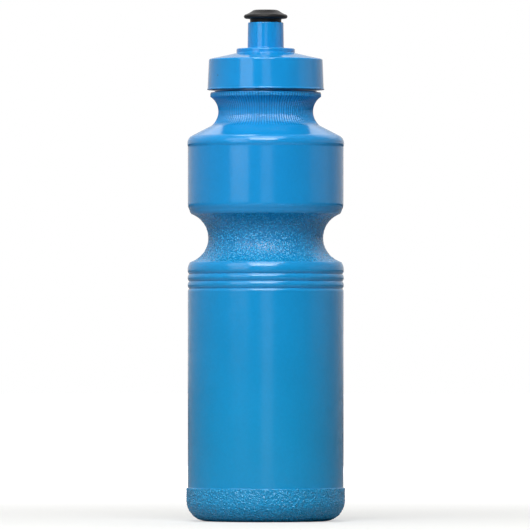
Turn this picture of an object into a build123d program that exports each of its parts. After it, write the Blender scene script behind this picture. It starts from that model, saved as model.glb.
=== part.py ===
from build123d import *

import math
import os

# Sports squeeze bottle, 750 ml class: a blow-moulded bottle, a screw lid with a turret, a lid gasket,
# a plug insert in the turret and a push-pull drinking valve.
# Millimetres, +Z up, origin at the centre of the standing ring, on the surface the bottle stands on.
# The lid is screwed down and the valve is pushed shut.

# ---- driving dimensions ------------------------------------------------------------------------
BODY_R = 37.0  # barrel and drum, made for a 74 mm bottle cage
WALL = 1.2  # blown wall
TOTAL_H = 243.2  # to the top of the shut valve

# foot
FOOT_R = 37.6  # grained band round the foot
FOOT_CORNER_R = 10.0
FOOT_TOP_Z = 15.75
FOOT_EDGE_R = 0.3
RING_IN_R = 23.0  # inner edge of the flat standing ring
PUSH_UP_R = 18.5  # where the pushed-up centre becomes flat
PUSH_UP_Z = 3.2

# ribs above the barrel: rounded rolls between narrow grooves
GROOVES = 3
GROOVE_LOW_Z = 110.5
GROOVE_PITCH = 3.5
GROOVE_R = BODY_R - 0.5
CREST_R = BODY_R + 0.1
LEDGE_Z = 119.6  # top of the ribbed zone

# grip waist between the barrel and the drum
WAIST_Z = 134.8
WAIST_R = 27.5
WAIST_ARC_R = 12.0
WAIST_LOW_R = 35.9
WAIST_HIGH_R = 35.2
DRUM_LOW_Z = 151.2

# shoulder and the groove under the neck
DRUM_HIGH_Z = 178.3
SHOULDER_BULGE_R = 37.25
SHOULDER_ARC_R = 4.2
SHOULDER_ARC_Z = 179.6
SHOULDER_SLOPE = 24.8  # degrees above the horizontal
COLLAR_Z = 194.8
COLLAR_R = 22.35
COLLAR_ARC_R = 8.5
COLLAR_LOW_Z = 188.35

# neck finish
FLANGE_R = 26.25
FLANGE_LOW_Z = 201.9
FLANGE_HIGH_Z = 203.9
FLANGE_EDGE_R = 0.3
NECK_R = 24.3
NECK_BORE_R = 22.6
NECK_TOP_Z = 216.7

# thread, the same lead on the neck and in the lid
LEAD = 4.2
THREAD_TURNS = 1.25
THREAD_BASE = 1.9
THREAD_CREST = 0.8
NECK_THREAD_R = 25.4
NECK_THREAD_Z = 208.3
LID_THREAD_R = 24.75
LID_THREAD_DROP = 1.5  # how far the lid's ridge lies under the neck's
BITE = 0.3  # how deep in its wall a ridge starts

# lid
LID_LOW_Z = 205.1
LID_LOW_R = 27.63
LID_LIP_R = 27.85
LID_LIP_H = 0.7
LID_HIGH_R = 27.06
LID_EDGE_R = 0.8
LID_BORE_R = 25.85
CONE_OUT_Z = 219.75  # cone at the lid's outer edge, before rounding
CONE_IN_Z = 222.6  # cone where it meets the disc
LID_TOP_T = 1.6
SEAT_Z = 217.9  # flat seat of the gasket
KEEPER_R = 21.1  # rib that keeps the gasket centred
KEEPER_IN_R = 20.1
KEEPER_LOW_Z = 217.1
DISC_R = 13.9
DISC_TOP_Z = 224.8
DISC_EDGE_R = 0.7

# turret
TURRET_LOW_R = 8.64
TURRET_HIGH_R = 8.46
TURRET_TOP_Z = 237.2
TURRET_EDGE_R = 0.4
TURRET_LIP_R = 7.52  # bore of the lip that holds the valve in
TURRET_LIP_H = 2.0
TURRET_BORE_R = 7.85
SOCKET_R = 9.7  # outside of the sleeve under the cone
SOCKET_LOW_Z = 218.5

# gasket
GASKET_IN_R = 21.2
GASKET_OUT_R = 25.6

# plug insert
CORE_FLANGE_R = 9.3
CORE_FLANGE_H = 0.8
CORE_RING_R = 7.83
CORE_RING_IN_R = 6.3
CORE_TOP_Z = 222.4
SPOKES = 3
SPOKE_W = 2.2
POST_R = 3.0
POST_TOP_Z = 239.7
TIP_R = 2.24
TIP_LOW_Z = 240.5
TIP_TOP_Z = 242.8

# push-pull valve
VALVE_R = 7.45
VALVE_LOW_Z = 226.4
VALVE_BORE_R = 5.5
VALVE_CEILING_Z = 240.85
HOLE_R = 2.3
BEAD_R = 7.75
BEAD_LOW_Z = 227.6
BEAD_HIGH_Z = 229.2
RIM_R = 10.39
RIM_Z = 240.15
RIM_UNDER_Z = 238.95
PLATEAU_R = 4.9
DISH_R = 3.6
DISH_DEPTH = 0.35

# small roundings of the edges
ROUND = 0.5
FINE_ROUND = 0.25


def waist_side(centre, radius, z):
    """The point, on the side towards the axis, of an arc about centre = (r, z) at height z."""
    return centre[0] - math.sqrt(radius**2 - (z - centre[1]) ** 2), z


def slope_arc(centre, radius):
    """The middle and the end of an arc that turns from upright to the slope of the shoulder."""
    turn = math.radians(90 - SHOULDER_SLOPE)
    points = []
    for angle in (turn / 2, turn):
        points.append((centre[0] + radius * math.cos(angle), centre[1] + radius * math.sin(angle)))
    return points


def corner_at(sketch, r, z):
    """The vertex of a profile that lies nearest to (r, z)."""
    return sketch.vertices().sort_by(lambda vertex: math.hypot(vertex.X - r, vertex.Y - z))[0]


def ridge(wall_r, crest_r, start_z):
    """A right-hand thread ridge that starts BITE deep in the wall and has its crest at crest_r."""
    height = crest_r - wall_r
    root = -math.copysign(BITE, height)
    root_half = THREAD_CREST / 2 + (THREAD_BASE - THREAD_CREST) / 2 * (1 + BITE / abs(height))
    with BuildPart() as made:
        with BuildLine() as path:
            Helix(LEAD, LEAD * THREAD_TURNS, wall_r, center=(0, 0, start_z))
        with BuildSketch(Plane(path.line @ 0, x_dir=(1, 0, 0), z_dir=path.line % 0)):
            with BuildLine():
                Polyline(
                    (root, -root_half),
                    (height, -THREAD_CREST / 2),
                    (height, THREAD_CREST / 2),
                    (root, root_half),
                    close=True,
                )
            make_face()
        sweep(path=path.line, is_frenet=True)
    return made


# ---- bottle body: inside profile ---------------------------------------------------------------
# the inside follows the outside at the wall thickness, without the grooves
INNER_R = BODY_R - WALL
waist = (WAIST_R + WAIST_ARC_R, WAIST_Z)
waist_low_z = WAIST_Z - math.sqrt(WAIST_ARC_R**2 - (waist[0] - WAIST_LOW_R) ** 2)
waist_high_z = WAIST_Z + math.sqrt(WAIST_ARC_R**2 - (waist[0] - WAIST_HIGH_R) ** 2)
collar = (COLLAR_R + COLLAR_ARC_R, COLLAR_Z)
shoulder = (SHOULDER_BULGE_R - SHOULDER_ARC_R, SHOULDER_ARC_Z)

corner_start = (FOOT_R - FOOT_CORNER_R, WALL)
waist_in_low = waist_side(waist, WAIST_ARC_R + WALL, waist_low_z - WALL / 2)
waist_in_high = waist_side(waist, WAIST_ARC_R + WALL, waist_high_z + WALL / 2)
collar_in_low = waist_side(collar, COLLAR_ARC_R + WALL, COLLAR_LOW_Z - WALL / 2)
collar_in_high_z = COLLAR_Z + math.sqrt((COLLAR_ARC_R + WALL) ** 2 - (collar[0] - NECK_BORE_R) ** 2)
slope_in_mid, slope_in_end = slope_arc(shoulder, INNER_R - shoulder[0])

with BuildSketch(Plane.XZ) as body_inside:
    with BuildLine():
        Polyline(
            (0, PUSH_UP_Z + WALL),
            (PUSH_UP_R, PUSH_UP_Z + WALL),
            (RING_IN_R + WALL, WALL),
            corner_start,
        )
        TangentArc(corner_start, (INNER_R, FOOT_CORNER_R), tangent=(1, 0))
        Polyline((INNER_R, FOOT_CORNER_R), (INNER_R, LEDGE_Z), waist_in_low)
        ThreePointArc(waist_in_low, (WAIST_R - WALL, WAIST_Z), waist_in_high)
        Polyline(waist_in_high, (INNER_R, DRUM_LOW_Z), (INNER_R, SHOULDER_ARC_Z))
        ThreePointArc((INNER_R, SHOULDER_ARC_Z), slope_in_mid, slope_in_end)
        Line(slope_in_end, collar_in_low)
        ThreePointArc(collar_in_low, (COLLAR_R - WALL, COLLAR_Z), (NECK_BORE_R, collar_in_high_z))
        Polyline(
            (NECK_BORE_R, collar_in_high_z),
            (NECK_BORE_R, NECK_TOP_Z),
            (0, NECK_TOP_Z),
            (0, PUSH_UP_Z + WALL),
        )
    make_face()

# ---- bottle body: wall profile and solid -------------------------------------------------------
foot_start = (FOOT_R - FOOT_CORNER_R, 0)
waist_low = (WAIST_LOW_R, waist_low_z)
waist_high = (WAIST_HIGH_R, waist_high_z)
slope_mid, slope_end = slope_arc(shoulder, SHOULDER_ARC_R)
collar_low = waist_side(collar, COLLAR_ARC_R, COLLAR_LOW_Z)
collar_high = waist_side(collar, COLLAR_ARC_R, FLANGE_LOW_Z)

neck_ridge = ridge(NECK_R, NECK_THREAD_R, NECK_THREAD_Z)

with BuildPart() as bottle_body:
    with BuildSketch(Plane.XZ) as body_wall:
        with BuildLine():
            Line((0, 0), foot_start)
            TangentArc(foot_start, (FOOT_R, FOOT_CORNER_R), tangent=(1, 0))
            roll_start = (BODY_R, GROOVE_LOW_Z - GROOVE_PITCH / 2)
            Polyline((FOOT_R, FOOT_CORNER_R), (FOOT_R, FOOT_TOP_Z), (BODY_R, FOOT_TOP_Z), roll_start)
            TangentArc(roll_start, (GROOVE_R, GROOVE_LOW_Z), tangent=(0, 1))
            for number in range(1, GROOVES):
                groove_z = GROOVE_LOW_Z + number * GROOVE_PITCH
                ThreePointArc(
                    (GROOVE_R, groove_z - GROOVE_PITCH),
                    (CREST_R, groove_z - GROOVE_PITCH / 2),
                    (GROOVE_R, groove_z),
                )
            TangentArc((CREST_R, LEDGE_Z), (GROOVE_R, groove_z), tangent=(0, -1))
            TangentArc((CREST_R, LEDGE_Z), waist_low, tangent=(0, 1))
            ThreePointArc(waist_low, (WAIST_R, WAIST_Z), waist_high)
            TangentArc((BODY_R, DRUM_LOW_Z), waist_high, tangent=(0, -1))
            Polyline((BODY_R, DRUM_LOW_Z), (BODY_R, DRUM_HIGH_Z), (SHOULDER_BULGE_R, SHOULDER_ARC_Z))
            ThreePointArc((SHOULDER_BULGE_R, SHOULDER_ARC_Z), slope_mid, slope_end)
            Line(slope_end, collar_low)
            ThreePointArc(collar_low, (COLLAR_R, COLLAR_Z), collar_high)
            Polyline(
                collar_high,
                (FLANGE_R, FLANGE_LOW_Z),
                (FLANGE_R, FLANGE_HIGH_Z),
                (NECK_R, FLANGE_HIGH_Z),
                (NECK_R, NECK_TOP_Z),
                (0, NECK_TOP_Z),
                (0, 0),
            )
        make_face()
        add(body_inside.sketch_local, mode=Mode.SUBTRACT)
        with BuildLine():
            Polyline((0, 0), (RING_IN_R, 0), (PUSH_UP_R, PUSH_UP_Z), (0, PUSH_UP_Z), close=True)
        make_face(mode=Mode.SUBTRACT)
        body_roundings = (
            (FOOT_R, FOOT_TOP_Z, FOOT_EDGE_R),
            (FLANGE_R, FLANGE_HIGH_Z, FLANGE_EDGE_R),
            (NECK_R, NECK_TOP_Z, ROUND),
            (NECK_BORE_R, NECK_TOP_Z, ROUND),
        )
        for corner_r, corner_z, corner_round in body_roundings:
            fillet(corner_at(body_wall, corner_r, corner_z), corner_round)
    revolve(axis=Axis.Z)
    add(neck_ridge.part)
bottle_body.part.label = "bottle_body"

# ---- lid ---------------------------------------------------------------------------------------
cone_rise = (CONE_IN_Z - CONE_OUT_Z) / (LID_HIGH_R - DISC_R)
ceiling_z = CONE_IN_Z - LID_TOP_T
lip_low_z = TURRET_TOP_Z - TURRET_LIP_H

lid_ridge = ridge(LID_BORE_R, LID_THREAD_R, NECK_THREAD_Z - LID_THREAD_DROP)

with BuildPart() as lid:
    with BuildSketch(Plane.XZ) as lid_wall:
        with BuildLine():
            Polyline(
                (LID_BORE_R, LID_LOW_Z),
                (LID_LIP_R, LID_LOW_Z),
                (LID_LIP_R, LID_LOW_Z + LID_LIP_H),
                (LID_LOW_R, LID_LOW_Z + LID_LIP_H + FINE_ROUND),
                (LID_HIGH_R, CONE_OUT_Z),
                (DISC_R, CONE_IN_Z),
                (DISC_R, DISC_TOP_Z),
                (TURRET_LOW_R, DISC_TOP_Z),
                (TURRET_HIGH_R, TURRET_TOP_Z),
                (TURRET_LIP_R, TURRET_TOP_Z),
                (TURRET_LIP_R, lip_low_z),
                (TURRET_BORE_R, lip_low_z - (TURRET_BORE_R - TURRET_LIP_R)),
                (TURRET_BORE_R, SOCKET_LOW_Z),
                (SOCKET_R, SOCKET_LOW_Z),
                (SOCKET_R, ceiling_z),
                (DISC_R, ceiling_z),
                (KEEPER_IN_R, ceiling_z - (KEEPER_IN_R - DISC_R) * cone_rise),
                (KEEPER_IN_R, KEEPER_LOW_Z),
                (KEEPER_R, KEEPER_LOW_Z),
                (KEEPER_R, SEAT_Z),
                (LID_BORE_R, SEAT_Z),
                close=True,
            )
        make_face()
        lid_roundings = (
            (LID_LIP_R, LID_LOW_Z, FINE_ROUND),
            (LID_HIGH_R, CONE_OUT_Z, LID_EDGE_R),
            (DISC_R, DISC_TOP_Z, DISC_EDGE_R),
            (TURRET_LOW_R, DISC_TOP_Z, ROUND),
            (TURRET_HIGH_R, TURRET_TOP_Z, TURRET_EDGE_R),
            (TURRET_LIP_R, TURRET_TOP_Z, FINE_ROUND),
            (SOCKET_R, ceiling_z, ROUND),
        )
        for corner_r, corner_z, corner_round in lid_roundings:
            fillet(corner_at(lid_wall, corner_r, corner_z), corner_round)
    revolve(axis=Axis.Z)
    add(lid_ridge.part)
lid.part.label = "lid"

# ---- lid gasket --------------------------------------------------------------------------------
with BuildPart() as lid_gasket:
    with BuildSketch(Plane.XY.offset(NECK_TOP_Z)):
        Circle(GASKET_OUT_R)
        Circle(GASKET_IN_R, mode=Mode.SUBTRACT)
    extrude(amount=SEAT_Z - NECK_TOP_Z)
    fillet(lid_gasket.edges().group_by(Axis.Z)[0], FINE_ROUND)
lid_gasket.part.label = "lid_gasket"

# ---- plug insert, pushed up into the turret from below -----------------------------------------
with BuildPart() as valve_core:
    with BuildSketch(Plane.XZ) as core_ring:
        with BuildLine():
            Polyline(
                (CORE_RING_IN_R, SOCKET_LOW_Z - CORE_FLANGE_H),
                (CORE_FLANGE_R, SOCKET_LOW_Z - CORE_FLANGE_H),
                (CORE_FLANGE_R, SOCKET_LOW_Z),
                (CORE_RING_R, SOCKET_LOW_Z),
                (CORE_RING_R, CORE_TOP_Z),
                (CORE_RING_IN_R, CORE_TOP_Z),
                close=True,
            )
        make_face()
        fillet(corner_at(core_ring, CORE_RING_R, CORE_TOP_Z), FINE_ROUND)
    with BuildSketch(Plane.XZ) as core_post:
        with BuildLine():
            Polyline(
                (0, SOCKET_LOW_Z),
                (POST_R, SOCKET_LOW_Z),
                (POST_R, POST_TOP_Z),
                (TIP_R, TIP_LOW_Z),
                (TIP_R, TIP_TOP_Z),
                (0, TIP_TOP_Z),
                close=True,
            )
        make_face()
        fillet(corner_at(core_post, TIP_R, TIP_TOP_Z), ROUND)
    revolve(axis=Axis.Z)
    with BuildSketch(Plane.XY.offset(SOCKET_LOW_Z)):
        with PolarLocations((POST_R + CORE_RING_IN_R) / 2, SPOKES):
            Rectangle(CORE_RING_IN_R - POST_R + ROUND, SPOKE_W)
    extrude(amount=CORE_TOP_Z - SOCKET_LOW_Z - ROUND)
valve_core.part.label = "valve_core"

# ---- push-pull valve ---------------------------------------------------------------------------
neck_end = (VALVE_R, RIM_UNDER_Z - ROUND)
flare_start = (VALVE_R + ROUND, RIM_UNDER_Z)
rim_low = (RIM_R - 0.7, RIM_UNDER_Z + 0.25)
rim_high = (RIM_R - 0.6, RIM_Z + 1.0)
flare_middle = ((PLATEAU_R + RIM_R) / 2, TOTAL_H - 1.15)

with BuildPart() as push_pull_valve:
    with BuildSketch(Plane.XZ) as valve_wall:
        with BuildLine():
            Polyline(
                (VALVE_BORE_R, VALVE_LOW_Z),
                (VALVE_R - ROUND, VALVE_LOW_Z),
                (BEAD_R, BEAD_LOW_Z),
                (BEAD_R, BEAD_HIGH_Z - ROUND),
                (VALVE_R, BEAD_HIGH_Z),
                neck_end,
            )
            TangentArc(neck_end, flare_start, tangent=(0, 1))
            Line(flare_start, rim_low)
            ThreePointArc(rim_low, (RIM_R, RIM_Z), rim_high)
            ThreePointArc(rim_high, flare_middle, (PLATEAU_R, TOTAL_H))
            Polyline(
                (PLATEAU_R, TOTAL_H),
                (DISH_R, TOTAL_H),
                (HOLE_R + DISH_DEPTH, TOTAL_H - DISH_DEPTH),
                (HOLE_R, TOTAL_H - 2 * DISH_DEPTH),
                (HOLE_R, VALVE_CEILING_Z),
                (VALVE_BORE_R - ROUND, VALVE_CEILING_Z),
                (VALVE_BORE_R, VALVE_CEILING_Z - ROUND),
                (VALVE_BORE_R, VALVE_LOW_Z),
            )
        make_face()
    revolve(axis=Axis.Z)
push_pull_valve.part.label = "push_pull_valve"

# ---- write the nodes ---------------------------------------------------------------------------
with BuildPart() as contents:
    revolve(body_inside.sketch, Axis.Z)
print("brimful capacity, ml:", round(contents.part.volume / 1000))

os.makedirs("parts", exist_ok=True)
for piece in (bottle_body, lid, lid_gasket, valve_core, push_pull_valve):
    export_step(piece.part, f"parts/{piece.part.label}.step")
    print(piece.part.label, "valid:", piece.part.is_valid, "ml:", round(piece.part.volume / 1000, 2))
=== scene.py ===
import math

import bpy
import numpy as np
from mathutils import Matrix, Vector, noise


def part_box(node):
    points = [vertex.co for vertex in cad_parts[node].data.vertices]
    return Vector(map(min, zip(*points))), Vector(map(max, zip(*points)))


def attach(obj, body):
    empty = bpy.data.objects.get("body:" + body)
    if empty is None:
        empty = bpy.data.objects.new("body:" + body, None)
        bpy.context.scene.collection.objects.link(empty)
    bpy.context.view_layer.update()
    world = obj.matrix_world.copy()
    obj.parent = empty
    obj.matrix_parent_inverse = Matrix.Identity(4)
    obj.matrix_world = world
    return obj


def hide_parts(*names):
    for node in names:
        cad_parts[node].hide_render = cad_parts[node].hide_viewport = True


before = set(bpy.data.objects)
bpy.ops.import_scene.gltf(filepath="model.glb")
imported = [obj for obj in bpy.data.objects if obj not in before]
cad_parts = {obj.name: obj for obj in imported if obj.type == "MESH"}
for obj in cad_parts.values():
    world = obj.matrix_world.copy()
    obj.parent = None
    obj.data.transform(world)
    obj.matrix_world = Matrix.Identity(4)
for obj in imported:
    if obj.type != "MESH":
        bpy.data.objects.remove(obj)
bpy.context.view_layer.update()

# The looks of the sports squeeze bottle. Its bottle, lid and drinking valve are turned as fine meshes
# with their grain, flutes, ribs and threads; the plug and the gasket keep their CAD shape.
# Outlines are in millimetres, as (radius, height) about the bottle's axis. Blender's units are metres.

MM = 0.001

# ---- sizes in mm, from the frame and from the bottle's own dimensions --------------------------
BODY_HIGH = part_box("bottle_body")[1]
LID_LOW, LID_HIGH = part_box("lid")
VALVE_LOW, VALVE_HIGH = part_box("push_pull_valve")

FOOT_R = BODY_HIGH.x / MM
BARREL_R = FOOT_R - 0.6
NECK_TOP = BODY_HIGH.z / MM
LID_R = LID_HIGH.x / MM
LID_BOTTOM = LID_LOW.z / MM
LID_TOP = LID_HIGH.z / MM
VALVE_R = VALVE_HIGH.x / MM
VALVE_BOTTOM = VALVE_LOW.z / MM
VALVE_TOP = VALVE_HIGH.z / MM

WALL = 1.2
EDGE = 0.3  # the round of a moulded edge

BASE_RISE = 3.2  # how far the middle of the base is pushed up
BASE_R = 18.0
RING_R = 23.6  # the standing ring runs from here to the foot's corner
FOOT_CORNER_R = 10.0
FOOT_TOP = 15.75

GROOVES = 3
GROOVE_LOW_Z = 110.5
GROOVE_PITCH = 3.5
GROOVE_HALF = 0.15
GROOVE_R = BARREL_R - 0.5
CREST_R = BARREL_R + 0.1
LEDGE_Z = 119.4

WAIST_Z = 134.8
WAIST_R = 27.5
WAIST_ARC_R = 12.0
WAIST_LOW = (35.9, 123.2)
WAIST_HIGH_R = 35.2
WAIST_GRAIN = (123.2, 146.0)  # the heights that the grain lies between
DRUM_CORNER = (36.2, 148.0)
DRUM_LOW_Z = 151.4
DRUM_HIGH_Z = 177.9
SHOULDER_Z = 178.45
SHOULDER_HIGH = (37.25, 179.6)
SLOPE_LOW = (34.81, 183.41)
SLOPE_HIGH = (25.9, 187.95)

COLLAR_ARC_R = 8.5
FLUTES_LOW_Z = 188.0
FLUTE_DEPTH = 0.36
FLUTE_MEAN = 0.64  # the mean of a flute's profile, so that the flutes lie about the outline
FLANGE_Z = 201.9
FLANGE_TOP = 203.9
FLANGE_R = 26.25
NECK_R = 24.3
NECK_LIP = 0.5
NECK_BORE_R = 22.6

INNER_R = BARREL_R - WALL
INNER_BASE = (18.5, 4.4)
INNER_WAIST_LOW = (34.6, 122.6)
INNER_WAIST_HIGH = (34.4, 146.8)
INNER_SLOPE_LOW = (34.3, 182.2)
INNER_SLOPE_HIGH = (24.6, 187.4)

LID_BORE_R = 25.85
SKIRT_TOP = (27.08, 219.1)
CONE_LOW = (26.3, 219.87)
CONE_HIGH = (14.2, 222.55)
DISC_R = 13.9
DISC_TOP = 224.8
DISC_ROUND = 0.65
TURRET_LOW = (8.64, 225.35)
TURRET_TOP_R = 8.46
TURRET_BORE_R = 7.85
TURRET_BORE_LOW_Z = 218.5
CATCH_R = 7.52
CATCH_Z = 235.2
PLUG_SEAT_R = 9.7
SEAT_Z = 217.9
KEEPER_R = (20.1, 21.1)
KEEPER_LOW_Z = 217.1

LEAD = 4.2
THREAD_TURNS = 1.25
THREAD_HEIGHT = 1.1
NECK_THREAD_Z = 208.3
LID_THREAD_Z = 206.8

SLEEVE_R = 7.45
SLEEVE_BORE_R = 5.5
SNAP_BEAD_R = 7.75
RIM_LOW_Z = 238.5
RIM_UNDER = (9.15, 239.0)
RIM_Z = 240.0
RIM_OVER = (9.35, 241.05)
RIM_HIGH = (6.8, 242.4)
MOUTHPIECE_R = 5.0
DISH_R = 3.9
DRINK_HOLE_R = 2.3
DRINK_HOLE_LOW_Z = 240.85

# how many columns a turned skin has, so that the flutes and the grain fall on whole ones
FLUTES = 118
SLIM = FLUTES
COARSE = 2 * FLUTES
FINE = 4 * FLUTES
FLUTED = 6 * FLUTES


# ---- turned skins ------------------------------------------------------------------------------
class Outline:
    """The rows of a turned skin: each has a radius, a height, a number of columns and a zone."""

    def __init__(self, r, z, zone, columns, step):
        self.rows = []
        self.use(zone, columns, step)
        self.add(r, z)

    def add(self, r, z):
        self.r, self.z = r, z
        self.rows.append((r, z, self.columns, self.zone))

    def use(self, zone=None, columns=None, step=None):
        """From here on, rows are of this zone, with so many columns and about so many mm apart."""
        self.zone = zone or self.zone
        self.columns = columns or self.columns
        self.step = step or self.step
        return self

    def line(self, r, z, hold=0.0):
        """A straight run. hold is how far from its ends two more rows keep its shading flat."""
        start_r, start_z = self.r, self.z
        length = math.hypot(r - start_r, z - start_z)
        count = max(1, round(length / self.step))
        shares = [number / count for number in range(1, count + 1)]
        if hold:
            inner = [share for share in shares if hold < share * length < length - hold]
            shares = [hold / length] + inner + [1 - hold / length, 1.0]
        for share in shares:
            self.add(start_r + (r - start_r) * share, start_z + (z - start_z) * share)
        return self

    def arc(self, r, z, radius, left=True):
        """An arc to (r, z), with its centre to the left or to the right of the way there."""
        start = Vector((self.r, self.z))
        chord = Vector((r, z)) - start
        radius = max(radius, chord.length / 2)
        side = 1 if left else -1
        rise = math.sqrt(max(radius**2 - chord.length_squared / 4, 0.0))
        centre = start + chord / 2 + Vector((-chord.y, chord.x)).normalized() * rise * side
        turn = 2 * math.asin(chord.length / 2 / radius) * side
        count = max(3, round(radius * abs(turn) / self.step))
        arm = start - centre
        for number in range(1, count + 1):
            cos, sin = math.cos(turn * number / count), math.sin(turn * number / count)
            self.add(centre.x + arm.x * cos - arm.y * sin, centre.y + arm.x * sin + arm.y * cos)
        return self


def bridge(low, high):
    """The faces between two rings, of which one may have a whole number of times the other's columns."""
    few, many = (low, high) if len(low) <= len(high) else (high, low)
    times = len(many) // len(few)
    faces = []
    for column in range(len(few)):
        side = [many[(column * times + step) % len(many)] for step in range(times + 1)]
        if len(few) == 1:
            fan = [(few[0], side[step], side[step + 1]) for step in range(times)]
            faces.extend(face[::-1] for face in fan)
        else:
            faces.append([few[column], few[(column + 1) % len(few)], *side[::-1]])
    return faces if few is low else [face[::-1] for face in faces]


def turned(name, outline, relief, materials, closed=False):
    """A mesh turned about Z. relief(zone, ring) is how far, in mm, a ring's points stand out.

    An open outline starts and ends on the axis. A closed one is a ring about the axis.
    materials gives each zone's material, and the first one serves the zones that it doesn't name.
    """
    rows = outline.rows[:-1] if closed else outline.rows
    points, rings = [], []
    for index, (r, z, columns, zone) in enumerate(rows):
        before = rows[index - 1] if index or closed else rows[0]
        after = rows[(index + 1) % len(rows)] if index + 1 < len(rows) or closed else rows[-1]
        run = Vector((after[0] - before[0], after[1] - before[1])).normalized()
        columns = columns if r > 1e-6 else 1
        angles = np.arange(columns) * 2 * math.pi / columns
        across = np.stack([np.cos(angles), np.sin(angles)], axis=1)
        ring = np.column_stack([across * r, np.full(columns, z)])
        normals = np.column_stack([across * run.y, np.full(columns, -run.x)])
        ring = ring + normals * relief(zone, ring)[:, None]
        rings.append(list(range(len(points), len(points) + columns)))
        points.extend((ring * MM).tolist())
    names = list(materials)
    faces, slots = [], []
    for index in range(len(rows) if closed else len(rows) - 1):
        made = bridge(rings[index], rings[(index + 1) % len(rows)])
        zone = rows[(index + 1) % len(rows)][3]
        faces.extend(made)
        slots.extend([names.index(zone) if zone in names else 0] * len(made))
    mesh = bpy.data.meshes.new(name)
    mesh.from_pydata(points, [], faces)
    for material in materials.values():
        mesh.materials.append(material)
    mesh.polygons.foreach_set("material_index", slots)
    mesh.shade_smooth()
    mesh.update()
    piece = bpy.data.objects.new(name, mesh)
    bpy.context.scene.collection.objects.link(piece)
    return piece


# ---- reliefs -----------------------------------------------------------------------------------
noise.seed_set(7)  # noise_vector would otherwise shift its noise by the clock, and the grain with it


def ease(low, high, values):
    """0 below low, 1 above high, and smooth between them."""
    share = np.clip((values - low) / (high - low), 0, 1)
    return share * share * (3 - 2 * share)


def angle_of(ring):
    return np.arctan2(ring[:, 1], ring[:, 0])


def sampled(ring, size, function):
    """function of each point, with the points measured in steps of size."""
    return np.array([function(Vector(point) / size) for point in ring])


def pebble(point):
    """Leather grain from 0 in its creases to 1 on its pebbles."""
    bent = point + noise.noise_vector(point * 0.45) * 0.75
    near, next_near = noise.voronoi(bent)[0][:2]
    return min((next_near - near) / 0.42, 1.0)


def leather(ring, size, height):
    return (sampled(ring, size, pebble) - 0.6) * height


def swell(ring, size, height):
    """The slow unevenness of a moulded wall."""
    return sampled(ring, size, noise.noise) * height


def between(low, high, fade, values):
    """1 between low and high, and 0 outside them, with a smooth change over fade at each end."""
    return ease(low, low + fade, values) * (1 - ease(high - fade, high, values))


def seam(ring, width, height):
    """The parting line of the mould, up the sides that face +X and -X."""
    return np.exp(-((ring[:, 1] / width) ** 2)) * height


def thread(ring, start_z):
    """A ridge of one thread, which runs out at both ends."""
    turns = np.mod(angle_of(ring) / (2 * math.pi), 1.0)
    height = np.zeros(len(ring))
    for number in range(int(THREAD_TURNS) + 1):
        along = turns + number
        off = np.abs(ring[:, 2] - start_z - along * LEAD)
        ridge = 1 - ease(0.35, 1.0, off)
        ends = ease(0.0, 0.06, along) * ease(0.0, 0.06, THREAD_TURNS - along)
        height = np.maximum(height, ridge * ends)
    return height * THREAD_HEIGHT


def body_relief(zone, ring):
    z = ring[:, 2]
    plain = swell(ring, 26.0, 0.05)
    if zone == "foot":
        fade = ease(0.05, 1.2, z) * (1 - ease(FOOT_TOP - 0.07, FOOT_TOP + 0.01, z))
        return leather(ring, 1.25, 0.34) * fade + seam(ring, 0.5, 0.08) * fade
    if zone == "waist":
        return plain + swell(ring, 0.9, 0.2) * between(*WAIST_GRAIN, 0.8, z)
    if zone == "flutes":
        below_rim = 1 - ease(FLANGE_TOP - 0.9, FLANGE_TOP - 0.5, z)
        depth = ease(FLUTES_LOW_Z, FLUTES_LOW_Z + 2.0, z) * below_rim
        return (np.abs(np.sin(FLUTES / 2 * angle_of(ring))) - FLUTE_MEAN) * FLUTE_DEPTH * depth
    if zone == "thread":
        return thread(ring, NECK_THREAD_Z)
    if zone == "base":
        pinch = np.exp(-((ring[:, 1] / 0.7) ** 2)) * (1 - ease(19.0, 22.5, np.abs(ring[:, 0])))
        return pinch * 0.5
    if zone == "plain":
        return plain + seam(ring, 0.6, 0.05)
    return np.zeros(len(ring))


def lid_relief(zone, ring):
    if zone == "thread":
        return thread(ring, LID_THREAD_Z)
    if zone == "skirt":
        return swell(ring, 14.0, 0.03)
    return np.zeros(len(ring))


def valve_relief(zone, ring):
    return swell(ring, 5.0, 0.03) if zone == "rim" else np.zeros(len(ring))


# ---- outlines ----------------------------------------------------------------------------------
def body_outline():
    """From the middle of the base out, up the outside, over the neck's lip and down the inside."""
    out = Outline(0, BASE_RISE, "base", COARSE, 1.5)
    out.line(BASE_R, BASE_RISE).arc(BASE_R + 1.3, BASE_RISE - 0.6, 2.0, left=False)
    out.line(RING_R - 1.3, 0.5, hold=0.4).arc(RING_R, 0.0, 1.8)
    foot(out)
    ribs(out)
    waist_and_drum(out)
    collar_and_neck(out)
    inner_wall(out)
    return out


def foot(out):
    out.use("foot", FINE, 0.5).line(FOOT_R - FOOT_CORNER_R, 0.0)
    out.use(step=0.38).arc(FOOT_R, FOOT_CORNER_R, FOOT_CORNER_R)
    out.line(FOOT_R, FOOT_TOP - EDGE).use(step=0.12).arc(FOOT_R - EDGE, FOOT_TOP, EDGE)
    root = 0.12
    out.use("plain", COARSE, 0.2).line(BARREL_R + root, FOOT_TOP)
    out.arc(BARREL_R, FOOT_TOP + root, root, left=False)


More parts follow.
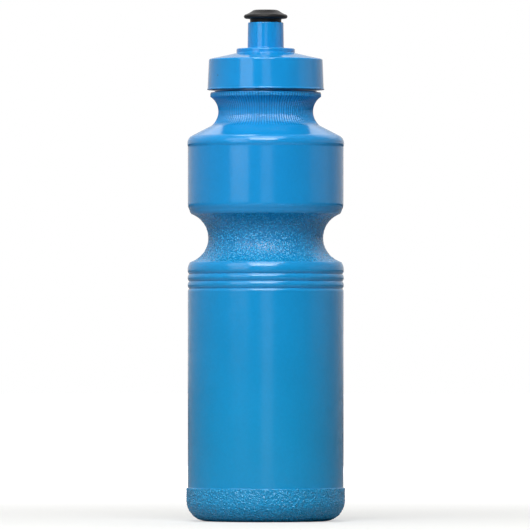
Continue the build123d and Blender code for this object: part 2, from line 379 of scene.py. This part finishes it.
def ribs(out):
    """Rounded ribs with narrow grooves between them, up to the ledge over the barrel."""
    out.use(step=6.0).line(BARREL_R, GROOVE_LOW_Z - 1.3, hold=0.5)
    out.use(step=0.14).arc(GROOVE_R, GROOVE_LOW_Z - GROOVE_HALF, 1.6)
    for number in range(GROOVES):
        groove_z = GROOVE_LOW_Z + number * GROOVE_PITCH
        out.arc(GROOVE_R, groove_z + GROOVE_HALF, 0.2, left=False)
        if number < GROOVES - 1:
            out.arc(GROOVE_R, groove_z + GROOVE_PITCH - GROOVE_HALF, 2.5)
    out.arc(CREST_R, LEDGE_Z, 2.6).use(step=0.4).arc(*WAIST_LOW, 6.2)


def waist_and_drum(out):
    reach = WAIST_R + WAIST_ARC_R - WAIST_HIGH_R
    waist_high_z = WAIST_Z + math.sqrt(WAIST_ARC_R**2 - reach**2)
    out.use("waist", FINE, 0.48).arc(WAIST_HIGH_R, waist_high_z, WAIST_ARC_R, left=False)
    out.use("plain", COARSE, 0.3).arc(*DRUM_CORNER, 3.8).use(step=0.5).arc(BARREL_R, DRUM_LOW_Z, 6.2)
    out.use(step=4.0).line(BARREL_R, DRUM_HIGH_Z, hold=0.4)
    out.use(step=0.25).arc(CREST_R, SHOULDER_Z, 1.6, left=False).arc(*SHOULDER_HIGH, 4.5)
    out.use(step=0.4).arc(*SLOPE_LOW, 4.2).use(step=0.8).line(*SLOPE_HIGH, hold=0.3)


def collar_and_neck(out):
    out.use("flutes", FLUTED, 0.6).arc(FLANGE_R, FLANGE_Z, COLLAR_ARC_R, left=False)
    out.use(step=0.3).line(FLANGE_R, FLANGE_TOP - EDGE)
    out.use("plain", COARSE, 0.12).arc(FLANGE_R - EDGE, FLANGE_TOP, EDGE).use(step=0.5)
    out.line(NECK_R + EDGE, FLANGE_TOP).arc(NECK_R, FLANGE_TOP + EDGE, EDGE, left=False)
    out.use("thread", COARSE, 0.36).line(NECK_R, NECK_TOP - NECK_LIP)
    out.use("lip", step=0.2).arc(NECK_R - NECK_LIP, NECK_TOP, NECK_LIP)
    out.line(NECK_BORE_R + NECK_LIP, NECK_TOP).arc(NECK_BORE_R, NECK_TOP - NECK_LIP, NECK_LIP)


def inner_wall(out):
    out.use("inside", SLIM, 2.5).line(NECK_BORE_R, FLANGE_Z - 0.1, hold=0.5)
    out.use(step=1.5).arc(*INNER_SLOPE_HIGH, COLLAR_ARC_R + WALL)
    out.line(*INNER_SLOPE_LOW).arc(INNER_R, 179.2, 3.0, left=False)
    out.use(step=6.0).line(INNER_R, DRUM_LOW_Z - 0.2).line(*INNER_WAIST_HIGH)
    out.use(step=1.5).arc(*INNER_WAIST_LOW, WAIST_ARC_R + WALL)
    corner = FOOT_CORNER_R - WALL - 0.6
    out.line(INNER_R, LEDGE_Z - 0.4).use(step=12.0).line(INNER_R, WALL + corner)
    out.use(step=1.5).arc(INNER_R - corner, WALL, corner, left=False).line(RING_R + 0.6, WALL)
    out.line(*INNER_BASE).use(step=4.0).line(0, INNER_BASE[1])


def lid_outline():
    """From the skirt's lower edge up the outside, down the turret's bore and back down the inside."""
    out = Outline(LID_BORE_R, LID_BOTTOM + 0.2, "skirt", COARSE, 0.2)
    skirt(out)
    cone_and_disc(out)
    turret(out)
    lid_inside(out)
    return out


def skirt(out):
    """The skirt's wall, with a bead round its lower edge."""
    bead = 0.25
    out.arc(LID_BORE_R + 0.2, LID_BOTTOM, 0.2).line(LID_R - bead, LID_BOTTOM, hold=0.1)
    out.arc(LID_R, LID_BOTTOM + bead, bead).line(LID_R, LID_BOTTOM + 0.55)
    out.arc(LID_R - 0.22, LID_BOTTOM + 0.8, bead, left=False)
    out.use(step=1.6).line(*SKIRT_TOP, hold=0.3)


def cone_and_disc(out):
    out.use(step=0.18).arc(*CONE_LOW, 0.8)
    out.use("cone", step=1.6).line(*CONE_HIGH, hold=0.3)
    out.use(step=0.12).arc(DISC_R, CONE_HIGH[1] + EDGE, EDGE, left=False)
    out.use(step=0.4).line(DISC_R, DISC_TOP - DISC_ROUND, hold=0.2)
    out.use(step=0.16).arc(DISC_R - DISC_ROUND, DISC_TOP, DISC_ROUND)


def turret(out):
    """The turret, and down its bore past the catch that keeps the valve in."""
    root = 0.5
    out.use(step=1.0).line(TURRET_LOW[0] + root, TURRET_LOW[1] - root, hold=0.2)
    out.use("turret", step=0.12).arc(*TURRET_LOW, root, left=False)
    out.use(step=1.5).line(TURRET_TOP_R, LID_TOP - 0.45, hold=0.2)
    out.use(step=0.1).arc(8.05, LID_TOP, 0.42).line(CATCH_R + 0.25, LID_TOP)
    out.arc(CATCH_R, LID_TOP - 0.25, 0.25)
    out.use(step=0.8).line(CATCH_R, CATCH_Z, hold=0.1)
    out.line(TURRET_BORE_R, CATCH_Z + CATCH_R - TURRET_BORE_R)
    out.use(step=4.0).line(TURRET_BORE_R, TURRET_BORE_LOW_Z, hold=0.3)


def lid_inside(out):
    """Under the lid: the plug's seat, the gasket's keeper and seat, and the thread."""
    keeper_in, keeper_out = KEEPER_R
    out.use("inside", step=0.8).line(PLUG_SEAT_R, TURRET_BORE_LOW_Z, hold=0.1)
    out.line(PLUG_SEAT_R, 220.2, hold=0.1).line(DISC_R, 220.3)
    out.use(step=2.0).line(keeper_in, 219.35, hold=0.2).line(keeper_in, KEEPER_LOW_Z)
    out.line(keeper_out, KEEPER_LOW_Z).line(keeper_out, SEAT_Z).line(LID_BORE_R - EDGE, SEAT_Z, hold=0.1)
    out.use(step=0.12).arc(LID_BORE_R, SEAT_Z - EDGE, EDGE, left=False)
    out.use("thread", step=0.36).line(LID_BORE_R, LID_BOTTOM + 0.2)


def valve_outline():
    """From the sleeve's lower edge up the outside, over the rim and down the bore."""
    out = Outline(SLEEVE_BORE_R, VALVE_BOTTOM, "sleeve", COARSE, 0.5)
    out.line(SNAP_BEAD_R - 0.8, VALVE_BOTTOM, hold=0.1)
    out.use(step=0.3).line(SNAP_BEAD_R, 227.6).line(SNAP_BEAD_R, 228.7)
    out.line(SLEEVE_R, 229.2).use(step=2.0).line(SLEEVE_R, RIM_LOW_Z, hold=0.2)
    out.use("rim", step=0.12).arc(SLEEVE_R + 0.5, RIM_LOW_Z + 0.45, 0.5, left=False).line(*RIM_UNDER)
    out.arc(VALVE_R, RIM_Z, 1.1).arc(*RIM_OVER, 1.15)
    out.use(step=0.3).arc(*RIM_HIGH, 14.0, left=False)
    out.use(step=0.12).arc(MOUTHPIECE_R, VALVE_TOP, 3.2)
    out.use(step=0.4).line(DISH_R, VALVE_TOP - 0.02).use(step=0.12)
    out.arc(DRINK_HOLE_R + 0.25, VALVE_TOP - 0.5, 1.6).arc(DRINK_HOLE_R, VALVE_TOP - 0.8, 0.4)
    out.use("sleeve", step=0.5).line(DRINK_HOLE_R, DRINK_HOLE_LOW_Z, hold=0.1)
    chamfer = 0.5
    out.line(SLEEVE_BORE_R - chamfer, DRINK_HOLE_LOW_Z, hold=0.1)
    out.line(SLEEVE_BORE_R, DRINK_HOLE_LOW_Z - chamfer)
    return out.use(step=3.0).line(SLEEVE_BORE_R, VALVE_BOTTOM)


# ---- materials ---------------------------------------------------------------------------------
NOISE_SPREAD = (0.3, 0.7)  # between which most of a noise lies
DOT_SPREAD = (0.15, 0.55)  # where a dot starts and ends to fade, as a share of its size


class Shader:
    """A Principled material and the few nodes that its detail is made of. Sizes are in metres."""

    def __init__(self, name, colour, roughness, **settings):
        self.material = bpy.data.materials.new(name)
        self.material.use_nodes = True
        self.tree = self.material.node_tree
        self.surface = self.tree.nodes["Principled BSDF"]
        self.surface.inputs["Base Color"].default_value = (*colour, 1)
        self.surface.inputs["Roughness"].default_value = roughness
        for socket, value in settings.items():
            self.surface.inputs[socket.replace("_", " ")].default_value = value
        self.place = self.node("TexCoord").outputs["Object"]

    def node(self, kind, **inputs):
        made = self.tree.nodes.new("ShaderNode" + kind)
        for socket, value in inputs.items():
            self.feed(made.inputs[socket.replace("_", " ")], value)
        return made

    def feed(self, socket, value):
        if isinstance(value, bpy.types.NodeSocket):
            self.tree.links.new(value, socket)
        else:
            socket.default_value = value

    def stretched(self, scale, rise=1.0):
        """The place on the object times scale, with heights also times rise."""
        made = self.node("Mapping", Vector=self.place, Scale=(scale, scale, scale * rise))
        return made.outputs["Vector"]

    def noise(self, size, detail=2.0, rise=1.0):
        """Noise from 0 to 1, with features of about this size. A low rise draws them out upwards."""
        made = self.node("TexNoise", Vector=self.stretched(1 / size, rise), Scale=1.0, Detail=detail)
        return made.outputs["Fac"]

    def cells(self, size):
        """The distance to the edge of cells of about this size."""
        made = self.node("TexVoronoi", Vector=self.stretched(1 / size), Scale=1.0)
        made.feature = "DISTANCE_TO_EDGE"
        return made.outputs["Distance"]

    def dots(self, size):
        """1 at the middle of scattered dots, about this far apart, to 0 between them."""
        made = self.node("TexVoronoi", Vector=self.stretched(1 / size), Scale=1.0)
        return self.ramp(made.outputs["Distance"], *DOT_SPREAD, 1, 0)

    def around(self, count):
        """0 in each of count lines up the piece, spaced evenly about Z, to 1 half-way between them."""
        axes = self.node("SeparateXYZ", Vector=self.place).outputs
        angle = self.math("ARCTAN2", axes["Y"], axes["X"])
        return self.math("ABSOLUTE", self.math("SINE", self.math("MULTIPLY", angle, count / 2)))

    def math(self, operation, *values):
        made = self.node("Math")
        made.operation = operation
        for socket, value in zip(made.inputs, values):
            self.feed(socket, value)
        return made.outputs["Value"]

    def ramp(self, value, low, high, to_low, to_high, smooth=False):
        """value from low to high, made to run from to_low to to_high, and held beyond them."""
        limits = {"From_Min": low, "From_Max": high, "To_Min": to_low, "To_Max": to_high}
        made = self.node("MapRange", Value=value, **limits)
        if smooth:
            made.interpolation_type = "SMOOTHSTEP"
        return made.outputs["Result"]

    def mix(self, factor, first, second):
        """A colour between two colours, or past the second. Either may be a socket."""
        made = self.node("Mix")
        made.data_type = "RGBA"
        made.clamp_factor = False
        self.feed(made.inputs[0], factor)
        for socket, colour in ((made.inputs[6], first), (made.inputs[7], second)):
            self.feed(socket, colour if isinstance(colour, bpy.types.NodeSocket) else (*colour, 1))
        return made.outputs[2]

    def tint(self, factor, first, second):
        """Base colour between two colours by factor."""
        self.feed(self.surface.inputs["Base Color"], self.mix(factor, first, second))

    def patches(self, size, detail, low, high):
        """A value that drifts between low and high in patches of about this size."""
        return self.ramp(self.noise(size, detail), *NOISE_SPREAD, low, high)

    def scuff(self, size, low, high):
        """Roughness that varies from low to high in patches of about this size."""
        self.feed(self.surface.inputs["Roughness"], self.patches(size, 4.0, low, high))

    def bump(self, *layers):
        """Bumps of (height from 0 to 1, depth), one over the other."""
        normal = None
        for height, depth in layers:
            made = self.node("Bump", Height=height, Distance=depth, Strength=1.0)
            if normal is not None:
                self.feed(made.inputs["Normal"], normal)
            normal = made.outputs["Normal"]
        self.feed(self.surface.inputs["Normal"], normal)


# The first blue is the body's blue near the floor, made greener and paler as painted bounce light from
# the floor.
FLOOR_BOUNCE_BLUE = (0.003, 0.272, 0.580)
DRUM_BLUE = (0.005, 0.240, 0.590)
LID_BLUE = (0.004, 0.246, 0.612)
# A pale blue painted onto the grain's tops as glints of reflected light.
PAINTED_GLINT_BLUE = (0.04, 0.46, 0.84)
BLACK = (0.009, 0.008, 0.009)
DEEP_BLACK = (0.0063, 0.0056, 0.0063)
BLOOM_BLACK = (0.0144, 0.0128, 0.0144)


def body_plastic(name, roughness, pebbles=None, grit=None, crease_shade=1.0, painted_glint=0.0):
    """Blown polyethylene: faint die lines down the wall, slow clouds of tone, scuffs and grain.

    pebbles and grit are the size and the depth, in metres, of a leathery and of a sandy grain.
    crease_shade is the tone of painted shade down in the grain, or in the flutes where there is no
    grain, and painted_glint is how pale the grain's tops are painted, as painted highlights.
    Low on the bottle the blue turns greener and paler, as painted bounce light from the floor.
    """
    made = Shader(name, DRUM_BLUE, roughness, IOR=1.5)
    height = made.node("SeparateXYZ", Vector=made.place).outputs["Z"]
    # The body's own blue above 0.17 m turns to a greener, paler blue below 0.04 m: painted bounce light
    # from the floor.
    blue = made.mix(made.ramp(height, 0.04, 0.17, 0, 1), FLOOR_BOUNCE_BLUE, DRUM_BLUE)
    clouds = made.patches(0.028, 3.0, 0.96, 1.02)
    mottle = made.patches(0.0012, 3.0, 0.97, 1.03)
    layers = [
        (made.noise(0.006, 2.0), 0.00006),
        (made.noise(0.0012, 3.0), 0.00002),
        (made.noise(0.0016, 2.0, rise=0.02), 0.000012),
    ]
    # This mask is 0 down in the flutes' grooves, or between the grain's dots, and 1 on their tops: it
    # paints shade into the hollows and glints onto the tops.
    shade_and_glint_mask = made.ramp(made.around(FLUTES), 0.0, 0.6, 0, 1)
    if grit:
        shade_and_glint_mask = made.dots(grit[0])
        layers.append((shade_and_glint_mask, grit[1]))
    if pebbles:
        leathery = made.cells(pebbles[0])
        shade_and_glint_mask = made.math("MULTIPLY", shade_and_glint_mask, made.ramp(leathery, 0.0, 0.25, 0.3, 1))
        layers.append((leathery, pebbles[1]))
    uneven = made.math("MULTIPLY", clouds, mottle)
    # Random clouds of tone, times painted shade that darkens the flute grooves and the grain's hollows.
    tone = made.math("MULTIPLY", uneven, made.ramp(shade_and_glint_mask, 0, 1, crease_shade, 1))
    # The grain's tops are painted towards the pale glint blue: painted highlights.
    made.tint(made.math("MULTIPLY", shade_and_glint_mask, painted_glint), made.mix(tone, (0, 0, 0), blue), PAINTED_GLINT_BLUE)
    made.scuff(0.004, roughness - 0.03, roughness + 0.04)
    made.bump(*layers)
    return made.material


SPECK = (-0.0226, -0.0152, 0.2116)  # a dark speck in the lid's skirt, in metres


def lid_plastic():
    """Injection-moulded polypropylene: glossy, with a faint orange peel and one dark speck."""
    made = Shader("lid_blue", LID_BLUE, 0.13, IOR=1.5)
    speck = made.node("VectorMath", Vector=made.place)
    speck.operation = "DISTANCE"
    speck.inputs[1].default_value = SPECK
    clean = made.ramp(speck.outputs["Value"], 0.00022, 0.0005, 0.1, 1)
    clouds = made.patches(0.012, 3.0, 0.94, 1.0)
    made.tint(made.math("MULTIPLY", clean, clouds), (0.0, 0.01, 0.04), LID_BLUE)
    made.scuff(0.003, 0.09, 0.17)
    made.bump((made.noise(0.005, 2.0), 0.00004), (made.noise(0.0006, 2.0), 0.000003))
    return made.material


def valve_rubber():
    """Soft black plastic with a faint satin bloom."""
    made = Shader("valve_black", BLACK, 0.42, IOR=1.48, Specular_IOR_Level=0.25)
    made.tint(made.noise(0.003, 4.0), DEEP_BLACK, BLOOM_BLACK)
    made.scuff(0.0012, 0.36, 0.5)
    made.bump((made.noise(0.0004, 3.0), 0.00001), (made.noise(0.002, 2.0), 0.00002))
    return made.material


def gasket_foam():
    """White closed-cell foam."""
    made = Shader("gasket_white", (0.72, 0.72, 0.7), 0.75)
    pores = made.cells(0.0003)
    # The foam is painted darker along the creases between its cells, where the bump is lowest: painted
    # shade.
    made.tint(made.ramp(pores, 0.0, 0.3, 0, 1), (0.55, 0.55, 0.53), (0.78, 0.78, 0.76))
    made.bump((pores, 0.00004))
    return made.material


# ---- pieces ------------------------------------------------------------------------------------
def build_pieces():
    satin = body_plastic("body_blue_satin", 0.17)
    sand, coarse_sand, pebbles = (0.00095, 0.0002), (0.0011, 0.00024), (0.0013, 0.0004)
    # The grain and flute materials below carry painted shade in their hollows and grooves, and painted
    # glints on the grain's tops.
    grained = body_plastic("body_blue_grained", 0.26, grit=sand, crease_shade=0.78, painted_glint=0.75)
    leathery = body_plastic("body_blue_leather", 0.24, pebbles=pebbles, grit=coarse_sand, painted_glint=0.85)
    fluted = body_plastic("body_blue_fluted", 0.2, crease_shade=0.5)
    gloss = lid_plastic()
    black = valve_rubber()

    zones = {"plain": satin, "foot": leathery, "waist": grained, "flutes": fluted}
    shell = turned("bottle_shell", body_outline(), body_relief, zones)
    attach(shell, "bottle")
    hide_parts("bottle_body")

    cap = turned("lid_shell", lid_outline(), lid_relief, {"skirt": gloss}, closed=True)
    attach(cap, "lid")
    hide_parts("lid")

    spout = turned("drinking_valve", valve_outline(), valve_relief, {"sleeve": black}, closed=True)
    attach(spout, "valve")
    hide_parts("push_pull_valve")

    for node, material in (("valve_core", gloss), ("lid_gasket", gasket_foam())):
        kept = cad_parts[node]
        kept.data.materials.clear()
        kept.data.materials.append(material)
        kept.data.shade_smooth()


# ---- studio ------------------------------------------------------------------------------------
CAMERA_X = -0.00033
CAMERA_Y = -4.1
CAMERA_Z = 0.078
VIEW_WIDTH = 0.2521  # what the picture spans at the bottle
VIEW_MIDDLE_Z = 0.1218
SENSOR = 36.0
FLOOR_R = 14.0
FLOOR_FADE = (0.06, 1.2)  # how far out from the bottle the floor turns white
ROOM_FRONT, ROOM_BACK = 0.15, 0.75  # how bright the room is that gloss mirrors
ROOM_FADE = (-0.8, 0.7)  # between which Y of a direction the one passes into the other
WARM = (1.0, 1.0, 0.88)


def area_light(name, place, target, width, height, brightness, colour=(1, 1, 1), gloss=True):
    """A softbox at place, turned to target. brightness is its radiance, with 1 as white.

    Without gloss it lights the bottle and isn't mirrored in it.
    """
    data = bpy.data.lights.new(name, "AREA")
    data.shape = "RECTANGLE"
    data.size, data.size_y = width, height
    data.energy = math.pi * width * height * brightness
    data.color = colour
    light = bpy.data.objects.new(name, data)
    light.location = place
    light.rotation_euler = (Vector(target) - Vector(place)).to_track_quat("-Z", "Y").to_euler()
    light.visible_camera = False
    light.visible_glossy = gloss
    bpy.context.scene.collection.objects.link(light)


def raised_light(name, azimuth, elevation, distance, width, height, brightness, **looks):
    """A softbox above the bottle and turned to it. Azimuth 0 is the camera's side, and 90 is +X."""
    turn, rise = math.radians(azimuth), math.radians(elevation)
    level = distance * math.cos(rise)
    place = (level * math.sin(turn), -level * math.cos(turn), distance * math.sin(rise))
    area_light(name, place, (0, 0, 0.12), width, height, brightness, **looks)


def upright_light(name, azimuth, distance, width, low, high, brightness):
    """A softbox that stands upright from one height to another and faces the bottle."""
    turn, middle = math.radians(azimuth), (low + high) / 2
    place = (distance * math.sin(turn), -distance * math.cos(turn), middle)
    area_light(name, place, (0, 0, middle), width, high - low, brightness)


def build_camera():
    data = bpy.data.cameras.new("camera")
    data.sensor_width = SENSOR
    place = Vector((CAMERA_X, CAMERA_Y, CAMERA_Z))
    target = Vector((CAMERA_X, 0, VIEW_MIDDLE_Z))
    data.lens = SENSOR * (target - place).length / VIEW_WIDTH
    data.clip_end = 50
    camera = bpy.data.objects.new("camera", data)
    camera.location = place
    camera.rotation_euler = (target - place).to_track_quat("-Z", "Y").to_euler()
    bpy.context.scene.collection.objects.link(camera)
    bpy.context.scene.camera = camera


def camera_glow(shader_tree, strength):
    """A strength that only the camera sees, so that a white floor doesn't light the bottle."""
    seen = shader_tree.nodes.new("ShaderNodeLightPath")
    share = shader_tree.nodes.new("ShaderNodeMath")
    share.operation = "MULTIPLY"
    shader_tree.links.new(seen.outputs["Is Camera Ray"], share.inputs[0])
    shader_tree.links.new(strength, share.inputs[1])
    return share.outputs["Value"]


def pale_floor():
    """A round floor that fades away from the bottle into a white distance."""
    made = Shader("studio_pale", (0.4, 0.4, 0.4), 0.9)
    away = made.node("VectorMath", Vector=made.place)
    away.operation = "LENGTH"
    glow = made.ramp(away.outputs["Value"], *FLOOR_FADE, 0.45, 1.0, smooth=True)
    made.feed(made.surface.inputs["Emission Color"], (1, 1, 1, 1))
    made.feed(made.surface.inputs["Emission Strength"], camera_glow(made.tree, glow))
    return made.material


def build_studio():
    """A wide pale floor in front of a white distance, and softboxes round the bottle."""
    angles = np.linspace(0, 2 * math.pi, 97)[:-1]
    rim = [(FLOOR_R * math.cos(angle), FLOOR_R * math.sin(angle), 0) for angle in angles]
    mesh = bpy.data.meshes.new("studio_floor")
    mesh.from_pydata(rim, [], [range(len(rim))])
    mesh.materials.append(pale_floor())
    floor = bpy.data.objects.new("studio_floor", mesh)
    bpy.context.scene.collection.objects.link(floor)

    # angles are in degrees, and distances, widths and heights in metres
    raised_light("key", -4, 43, 1.2, 0.68, 0.4, 10.6)
    raised_light("key_left", -48, 42, 1.2, 0.5, 0.5, 2.4)
    area_light("overhead_front", (0, -0.4, 0.85), (0, 0, 0.1), 0.6, 0.4, 4.2, colour=WARM)
    area_light("overhead_left", (-0.28, 0.1, 1.25), (0, 0, 0.1), 0.3, 0.3, 6.0, colour=WARM)
    raised_light("rear_top", 180, 40, 1.8, 0.9, 0.7, 0.7)
    raised_light("rear_fill", 180, 18, 2.0, 1.5, 1.2, 3.2, gloss=False)
    raised_light("rear_top_right", 140, 42, 1.6, 0.9, 0.7, 0.7)
    raised_light("rear_top_left", -140, 42, 1.6, 0.9, 0.7, 0.3)
    upright_light("window_left", -39, 1.5, 0.72, 0.17, 0.75, 1.9)
    upright_light("window_front", 2, 3.4, 1.0, 0.0, 1.3, 0.8)
    upright_light("window_right", 88, 1.5, 1.0, 0.1, 0.75, 0.3)

    bpy.context.scene.world = white_distance()
    bpy.context.scene.view_settings.view_transform = "Standard"


def white_distance():
    """A world that is white to the camera, and to gloss a room that is paler behind the bottle."""
    world = bpy.data.worlds.new("studio_world")
    world.use_nodes = True
    nodes, links = world.node_tree.nodes, world.node_tree.links
    nodes["Background"].inputs["Color"].default_value = (1, 1, 1, 1)
    axes = nodes.new("ShaderNodeSeparateXYZ")
    links.new(nodes.new("ShaderNodeTexCoord").outputs["Generated"], axes.inputs["Vector"])
    room = nodes.new("ShaderNodeMapRange")
    room.inputs["From Min"].default_value, room.inputs["From Max"].default_value = ROOM_FADE
    room.inputs["To Min"].default_value = ROOM_FRONT
    room.inputs["To Max"].default_value = ROOM_BACK
    links.new(axes.outputs["Y"], room.inputs["Value"])
    seen = nodes.new("ShaderNodeLightPath")
    level = nodes.new("ShaderNodeMath")
    level.operation = "MULTIPLY_ADD"
    links.new(seen.outputs["Is Glossy Ray"], level.inputs[0])
    links.new(room.outputs["Result"], level.inputs[1])
    links.new(seen.outputs["Is Camera Ray"], level.inputs[2])
    links.new(level.outputs["Value"], nodes["Background"].inputs["Strength"])
    return world


build_camera()
build_pieces()
build_studio()
